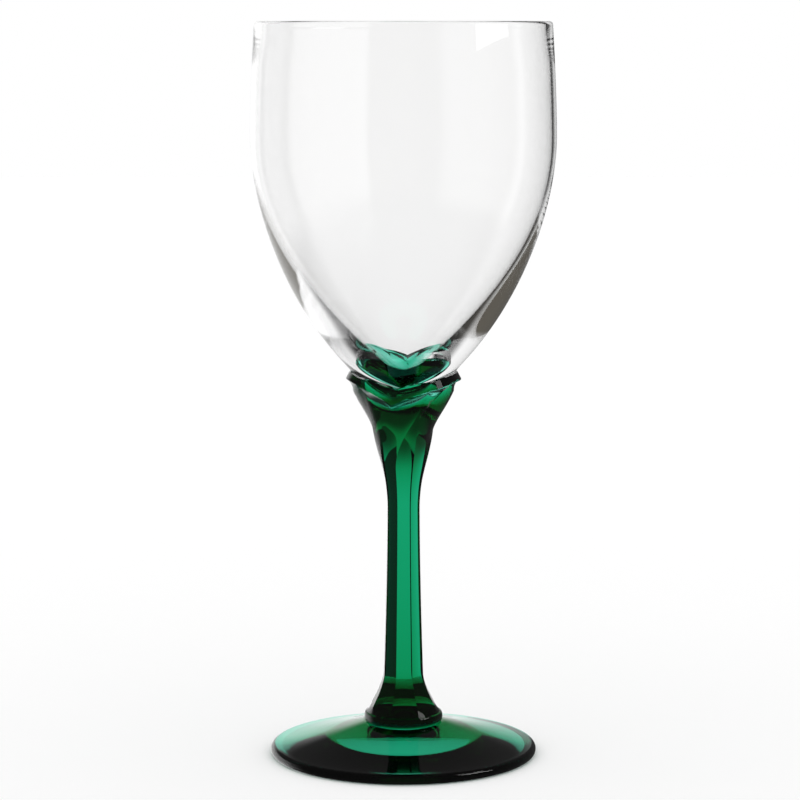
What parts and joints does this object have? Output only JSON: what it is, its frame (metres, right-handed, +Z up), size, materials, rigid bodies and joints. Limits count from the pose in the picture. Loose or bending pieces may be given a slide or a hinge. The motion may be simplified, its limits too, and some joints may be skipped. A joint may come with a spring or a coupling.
{
  "type": "stemmed goblet",
  "caption": "Stemmed drinking goblet: clear blown bowl fused into a green calyx of twisted leaves on an octagonal stem, with a round green foot.",
  "frame": {"origin": "centre of the foot's standing ring, on the surface it stands on", "axes": "+Z up along the stem's axis, -Y towards the viewer of the picture, +X to the viewer's right"},
  "size_m": [0.0824, 0.0824, 0.2],
  "materials": {
    "clear_glass": "blown colourless soda glass, fire-polished",
    "green_glass": "pressed emerald-green soda glass, fire-polished"
  },
  "bodies": {
    "root": {"foot": "green_glass", "stem": "green_glass", "bowl": "clear_glass"}
  },
  "joints": []
}
